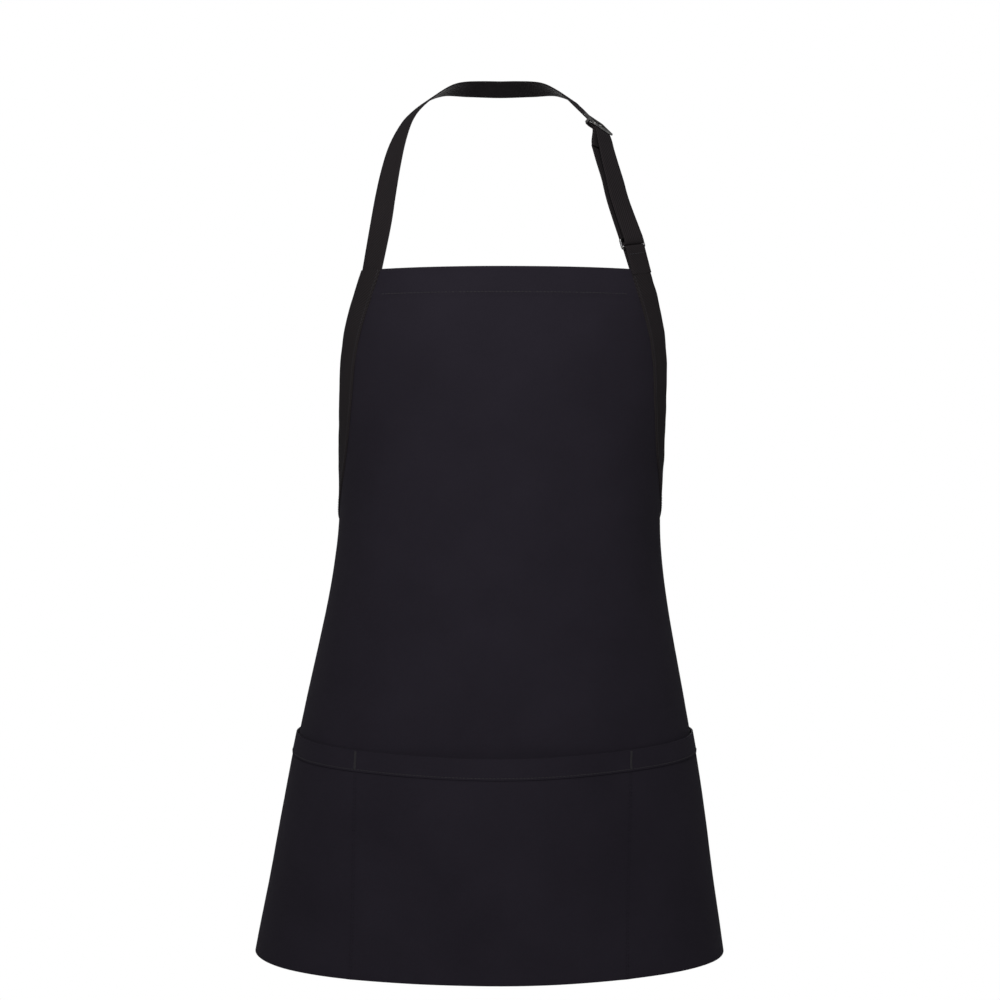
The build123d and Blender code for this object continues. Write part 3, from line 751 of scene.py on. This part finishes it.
left_corner, left_across = corner_frame(1)
right_corner, right_across = corner_frame(-1)
LOWER_STRAP = (
    ((0.0998, -0.0988, -0.0685), (0.61, 0.75, -0.23)),
    ((0.1034, -0.1048, -0.0845), (0.65, 0.73, -0.16)),
    ((0.1072, -0.1095, -0.1000), (0.68, 0.71, -0.1)),
    ((0.1120, -0.1140, -0.1200), (0.7, 0.7, -0.03)),
)
NAPE_STRAP = (
    ((0.0625, -0.0550, -0.0145), (0.57, 0.79, -0.27)),
    ((0.0460, -0.0330, -0.0046), (0.43, 0.85, -0.33)),
    ((0.0240, -0.0090, -0.0008), (0.22, 0.86, -0.44)),
    ((0.0, 0.0, 0.0), (0.0, 0.87, -0.5)),
    ((-0.0240, -0.0090, -0.0008), (-0.22, 0.86, -0.44)),
    ((-0.0460, -0.0330, -0.0046), (-0.43, 0.85, -0.33)),
    ((-0.0625, -0.0550, -0.0145), (-0.57, 0.79, -0.27)),
)
RIGHT_STRAP = (
    ((-0.0795, -0.0720, -0.0305), (-0.583, 0.768, -0.266)),
    ((-0.0890, -0.0835, -0.0450), (-0.585, 0.766, -0.25)),
    ((-0.0964, -0.0950, -0.0650), (-0.66, 0.70, -0.18)),
    ((-0.1020, -0.1045, -0.0890), (-0.72, 0.64, -0.12)),
    ((-0.1068, -0.1115, -0.1160), (-0.77, 0.60, -0.07)),
    ((-0.1112, -0.1160, -0.1440), (-0.79, 0.58, -0.03)),
)
ring_up = (Vector(LOWER_STRAP[-1][0]) - left_corner).normalized()
ring_across = (left_across - ring_up * left_across.dot(ring_up)).normalized()
ring_normal = ring_across.cross(ring_up)
ring_centre = left_corner + ring_up * RING_RISE
bar_offset = RING_HEIGHT / 2 - RING_WIRE / 2
upper_bar = ring_centre + ring_up * bar_offset
lower_bar = ring_centre - ring_up * bar_offset
wrap_middle = RING_WIRE / 2 + RING_ROOM + TAPE_THICK / 2


def stations_of(listed):
    return [(Vector(place), Vector(across)) for place, across in listed]


# The strap as one length: right corner, nape, slide, ring, and round the ring's upper bar.
strap_stations = [(right_corner - Vector((0, 0, 0.004)), right_across)]
strap_stations += stations_of(RIGHT_STRAP[::-1]) + stations_of(NAPE_STRAP[::-1])
for k in range(5):
    strap_stations.append((straight_top.lerp(straight_bottom, k / 4), slide_across))
strap_stations += stations_of(LOWER_STRAP)
strap_stations.append((upper_bar + ring_normal * wrap_middle, ring_across))
places = curve_through([place for place, across in strap_stations], 10)
acrosses = curve_through([across for place, across in strap_stations], 10)
FOLD_SAG = 0.0028            # the strap's fold hangs a little below the ring's upper bar
FOLD_STEPS = 10
for k in range(1, FOLD_STEPS + 1):
    angle = math.pi * k / FOLD_STEPS
    turn = ring_normal * (wrap_middle * math.cos(angle))
    places.append(upper_bar + turn - ring_up * ((wrap_middle + FOLD_SAG) * math.sin(angle)))
    acrosses.append(ring_across)
strap = tape_solid("strap_tape", places, acrosses, tape_black, "apron")
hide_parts("neck_strap")

# ---- the strap's end, turned round the slide's centre bar and sewn ----
STEPS = 10                   # curve steps from one station to the next
slide_at = (1 + len(RIGHT_STRAP) + len(NAPE_STRAP)) * STEPS
lower_at = slide_at + 4 * STEPS
tab_at = lower_at + STEPS
ring_at = tab_at + len(LOWER_STRAP) * STEPS


def behind(i, depth, aside=0.0):
    """A point behind the strap's front layer, and aside from its middle line."""
    along = (places[i + 1] - places[i - 1]).normalized()
    across = (acrosses[i] - along * acrosses[i].dot(along)).normalized()
    return places[i] - along.cross(across) * depth - across * aside


BAR_DEPTH = 0.00265          # the middle of the centre bar behind the strap's middle
LAYER_DEPTH = 0.00155        # the tab's front layer at the bar, behind the strap's middle
TAB_DEPTH = 0.0048           # the tab swings back from the strap towards its end
TAB_ASIDE = 0.0022
BAR_TURN = 0.0013
tab_places = []
for i in range(tab_at, lower_at - 1, -1):
    swing = smooth(lower_at, tab_at, i)
    tab_places.append(behind(i, LAYER_DEPTH + (TAB_DEPTH - LAYER_DEPTH) * swing, TAB_ASIDE * swing))
for k in range(9):
    angle = math.pi * k / 8
    reach = run * (0.0016 + BAR_TURN * math.sin(angle))
    tab_places.append(SLIDE_PLACE + reach - slide_normal * (BAR_DEPTH - BAR_TURN * math.cos(angle)))
tab_places.append(SLIDE_PLACE - run * 0.0024 - slide_normal * (BAR_DEPTH + BAR_TURN))
for i in range(lower_at, tab_at + 1):
    swing = smooth(lower_at, tab_at, i)
    depth = LAYER_DEPTH + (TAB_DEPTH - LAYER_DEPTH) * swing + TAPE_THICK + LAYER_GAP
    tab_places.append(behind(i, depth, TAB_ASIDE * swing))
tab_acrosses = [slide_across] * len(tab_places)
for k, i in enumerate(range(tab_at, lower_at - 1, -1)):
    tab_acrosses[k] = acrosses[i]
    tab_acrosses[-1 - k] = acrosses[i]
tab = tape_solid("strap_end_fold", tab_places, tab_acrosses, tape_black, "slide")
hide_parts("strap_end_tab")

# ---- the strap's way back from the ring to the tab ----
return_places, return_acrosses = [], []
RETURN_DEPTHS = ((tab_at, TAB_DEPTH + 0.0018), (tab_at + 22, 0.0046), (ring_at, 2 * wrap_middle))
for i in range(tab_at - 1, ring_at + 1):
    depth = through(RETURN_DEPTHS, i)
    aside = TAB_ASIDE * (1 - smooth(tab_at, ring_at, i))
    return_places.append(behind(i, depth, aside))
    return_acrosses.append(acrosses[i])
back = tape_solid("strap_way_back", return_places, return_acrosses, tape_black, "apron")
back.parent = None
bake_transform(back)
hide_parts("strap_return")

# ---- the end of the left binding, looped through the ring ----
SLIDE_ROOM = 0.00015         # clearance of the tape round a bar
LEG_TAPER = 0.0009           # the legs close on the binding that they are sewn to
loop_middle = RING_WIRE / 2 + SLIDE_ROOM + TAPE_THICK / 2
LOOP_LEG = RING_RISE - bar_offset + 0.004      # it is sewn down over the binding
loop_places = []
for k in between(1, 0, 8):
    loop_places.append(lower_bar - ring_up * (LOOP_LEG * k) + ring_normal * (loop_middle - LEG_TAPER * k))
for k in range(1, 8):
    angle = math.pi * k / 8
    outward = ring_normal * (loop_middle * math.cos(angle))
    loop_places.append(lower_bar + outward + ring_up * (loop_middle * math.sin(angle)))
for k in between(0, 1, 8):
    loop_places.append(lower_bar - ring_up * (LOOP_LEG * k) - ring_normal * (loop_middle - LEG_TAPER * k))
loop = tape_solid("ring_loop_tape", loop_places, [ring_across] * len(loop_places), tape_black, "apron")
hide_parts("ring_loop")
SEAM_DROP = 0.0065           # from the ring's lower bar to the seam that closes the loop
seam_middle = lower_bar - ring_up * SEAM_DROP + ring_normal * (loop_middle + TAPE_THICK / 2)
loop_seam = []
for x in between(-0.42, 0.42, 8):
    loop_seam.append(seam_middle + ring_across * (x * TAPE))
seam = stitch_row("ring_loop_stitches", loop_seam, [ring_normal] * len(loop_seam), thread_black)


# ---- waist ties, tied in a bow behind ----
KNOT_WIDTH = 0.026
KNOT_HEIGHT = 0.027
KNOT_DEPTH = 0.013
LOOP_LENGTH = 0.120
LOOP_DEPTH = 0.022
LOOP_DROOP = math.radians(32)
LOOP_SIDE = 0.004
TAIL_LENGTH = 0.350
TAIL_SPLAY = math.radians(5)


def half_round(v):
    """Half the way round the body at v."""
    return section(v)[3][-1][0]


tie_v = ARMHOLE_DROP + TAPE / 2
knot_centre = on_body(half_round(tie_v), tie_v, KNOT_DEPTH / 4)
for name, side in SIDES:
    tie_places, tie_acrosses, tie_widths = [], [], []
    reach = half_round(tie_v) - KNOT_WIDTH / 2 + 0.004
    for u in between(PANEL_HALF - 0.004, reach, 24):
        near = smooth(reach - 0.030, reach, u)
        tie_places.append(on_body(side * u, tie_v, TAPE_THICK / 2))
        tie_acrosses.append(on_body(side * u, tie_v - 0.01) - on_body(side * u, tie_v + 0.01))
        tie_widths.append(1 - 0.40 * near)
    tie = tape_solid(f"waist_tape_{name}", tie_places, tie_acrosses, tape_black, "apron", widths=tie_widths)
    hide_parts(f"waist_tie_{name}")

# The knot: tape wrapped over a bundle, fuller in the middle and pleated at its sides.
knot_rings, knot_uvs = [], []
for x in between(-1, 1, 26):
    ring, row = [], []
    bulge = (1 - 0.42 * abs(x) ** 3) * (1 if abs(x) < 0.99 else 0.9)
    for k in range(40):
        angle = 2 * math.pi * k / 40
        pleat = 0.05 * math.sin(x * 9 + 1.5 * math.sin(angle)) + 0.03 * math.sin(3 * angle + 4 * x)
        swell = bulge * (1 + pleat)
        y = KNOT_DEPTH / 2 * math.copysign(abs(math.cos(angle)) ** 0.8, math.cos(angle))
        z = KNOT_HEIGHT / 2 * math.copysign(abs(math.sin(angle)) ** 0.8, math.sin(angle))
        ring.append(knot_centre + Vector((x * KNOT_WIDTH / 2, y * swell, z * swell)))
        row.append((x * KNOT_WIDTH / 2, angle * KNOT_HEIGHT / 3))
    knot_rings.append(ring)
    knot_uvs.append(row)
knot = tube_solid("bow_knot", knot_rings, knot_uvs, tape_black, "apron")
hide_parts("tie_knot")

for name, side in SIDES:
    outward = Vector((side * math.cos(LOOP_DROOP), 0, -math.sin(LOOP_DROOP)))
    across = outward.cross(Vector((0, side, 0)))
    start = knot_centre + Vector((side * KNOT_WIDTH / 2, LOOP_SIDE, 0)) - outward * 0.004
    far = LOOP_LENGTH - LOOP_DEPTH / 2
    half = LOOP_DEPTH / 2 - TAPE_THICK / 2
    corners = [Vector((0, 0.0014, 0)), Vector((far * 0.3, 0.0062, 0)), Vector((far * 0.7, 0.0125, 0))]
    for k in range(7):
        angle = math.pi / 2 - math.pi * k / 6
        corners.append(Vector((far + half * math.cos(angle), 0.0045 + half * math.sin(angle), 0)))
    corners += [Vector((far * 0.7, -0.0052, 0)), Vector((far * 0.3, -0.0035, 0)), Vector((0, -0.0014, 0))]
    outline = curve_through(corners, 6)
    loop_line = [start + outward * p.x + Vector((0, p.y, 0)) for p in outline]
    pinch = [1 - 0.45 * (1 - smooth(0.0, 0.035, p.x)) for p in outline]
    bow = tape_solid(
        f"bow_loop_{name}", loop_line, [across] * len(outline), tape_black, "apron", widths=pinch
    )
    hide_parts(f"tie_loop_{name}")

# Each tail is a (backward, share of its length) curve down from the knot.
TAIL_SHAPES = {
    "left": ((-0.002, 0.0), (0.001, -0.2), (-0.001, -0.55), (0.003, -1.0)),
    "right": ((-0.0055, 0.0), (-0.007, -0.2), (-0.008, -0.5), (-0.004, -1.0)),
}
for name, side in SIDES:
    top = knot_centre + Vector((side * KNOT_WIDTH / 6, 0, 0.006 - KNOT_HEIGHT / 2))
    down = Vector((side * math.sin(TAIL_SPLAY), 0, -math.cos(TAIL_SPLAY)))
    level = Vector((math.cos(TAIL_SPLAY), 0, side * math.sin(TAIL_SPLAY)))
    shape = [Vector((y, -share * TAIL_LENGTH, 0)) for y, share in TAIL_SHAPES[name]]
    line = curve_through(shape, 16)
    tail_line = [top + down * p.y + Vector((0, p.x + TAPE_THICK / 2, 0)) for p in line]
    turns = []
    for k, p in enumerate(line):
        twist = 0.16 * side * math.sin(3.0 * k / len(line))
        turns.append(level * math.cos(twist) + Vector((0, 1, 0)) * math.sin(twist))
    pinch = [1 - 0.35 * (1 - smooth(0.0, 0.030, p.y)) for p in line]
    tail = tape_solid(f"bow_tail_{name}", tail_line, turns, tape_black, "apron", widths=pinch, cup=0.0005)
    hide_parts(f"tie_tail_{name}")

# ---- finish ----
add_camera()


def add_light(name, place, target, size, watts):
    data = bpy.data.lights.new(name, "AREA")
    data.size = size
    data.energy = watts
    lamp = bpy.data.objects.new(name, data)
    lamp.location = place
    lamp.rotation_euler = (Vector(target) - Vector(place)).to_track_quat("-Z", "Y").to_euler()
    bpy.context.collection.objects.link(lamp)


def white_world():
    world = bpy.data.worlds.new("studio")
    bpy.context.scene.world = world
    world.use_nodes = True
    nodes, links = world.node_tree.nodes, world.node_tree.links
    path = nodes.new("ShaderNodeLightPath")
    seen = node(nodes, "ShaderNodeMath", operation="MAXIMUM")
    links.new(path.outputs["Is Camera Ray"], seen.inputs[0])
    links.new(path.outputs["Is Transmission Ray"], seen.inputs[1])
    strength = node(nodes, "ShaderNodeMapRange")
    strength.inputs["To Min"].default_value = 0.30
    strength.inputs["To Max"].default_value = 1.0
    links.new(seen.outputs[0], strength.inputs["Value"])
    background = nodes["Background"]
    background.inputs["Color"].default_value = (1, 1, 1, 1)
    links.new(strength.outputs["Result"], background.inputs["Strength"])


FLOOR_Z = -1.25
FLOOR_CLEAR = 0.35           # the floor turns plain white beyond this distance


def add_floor():
    mesh = bpy.data.meshes.new("floor")
    reach = 6.0
    corners = [(x * reach, y * reach, FLOOR_Z) for x, y in ((-1, -1), (1, -1), (1, 1), (-1, 1))]
    mesh.from_pydata(corners, [], [(0, 1, 2, 3)])
    floor = bpy.data.objects.new("floor", mesh)
    bpy.context.collection.objects.link(floor)
    material, nodes, links, shader = new_material("floor_white")
    shader.inputs["Base Color"].default_value = (0.86, 0.86, 0.86, 1)
    shader.inputs["Roughness"].default_value = 0.9
    path = nodes.new("ShaderNodeLightPath")
    place = nodes.new("ShaderNodeTexCoord")
    far = node(nodes, "ShaderNodeVectorMath", operation="LENGTH")
    links.new(place.outputs["Object"], far.inputs[0])
    fade = node(nodes, "ShaderNodeMapRange")
    fade.inputs["From Min"].default_value = math.hypot(FLOOR_CLEAR, FLOOR_Z)
    fade.inputs["From Max"].default_value = math.hypot(1.1, FLOOR_Z)
    links.new(far.outputs["Value"], fade.inputs["Value"])
    seen = node(nodes, "ShaderNodeMath", operation="MULTIPLY")
    links.new(path.outputs["Is Camera Ray"], seen.inputs[0])
    links.new(fade.outputs["Result"], seen.inputs[1])
    white = nodes.new("ShaderNodeEmission")
    mix = nodes.new("ShaderNodeMixShader")
    links.new(seen.outputs[0], mix.inputs[0])
    links.new(shader.outputs["BSDF"], mix.inputs[1])
    links.new(white.outputs["Emission"], mix.inputs[2])
    links.new(mix.outputs["Shader"], nodes["Material Output"].inputs["Surface"])
    mesh.materials.append(material)


white_world()
add_floor()
aim = (0, TORSO_Y, VIEW_HEIGHT)
add_light("key", (-0.10, -1.35, 0.50), (0, TORSO_Y, -0.22), 0.7, 26)
add_light("back", (0.1, 1.7, -0.35), aim, 0.9, 30)
bpy.context.scene.view_settings.view_transform = "Standard"

for metal_node in ("strap_slide", "strap_ring"):
    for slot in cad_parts[metal_node].material_slots:
        slot.material = gunmetal
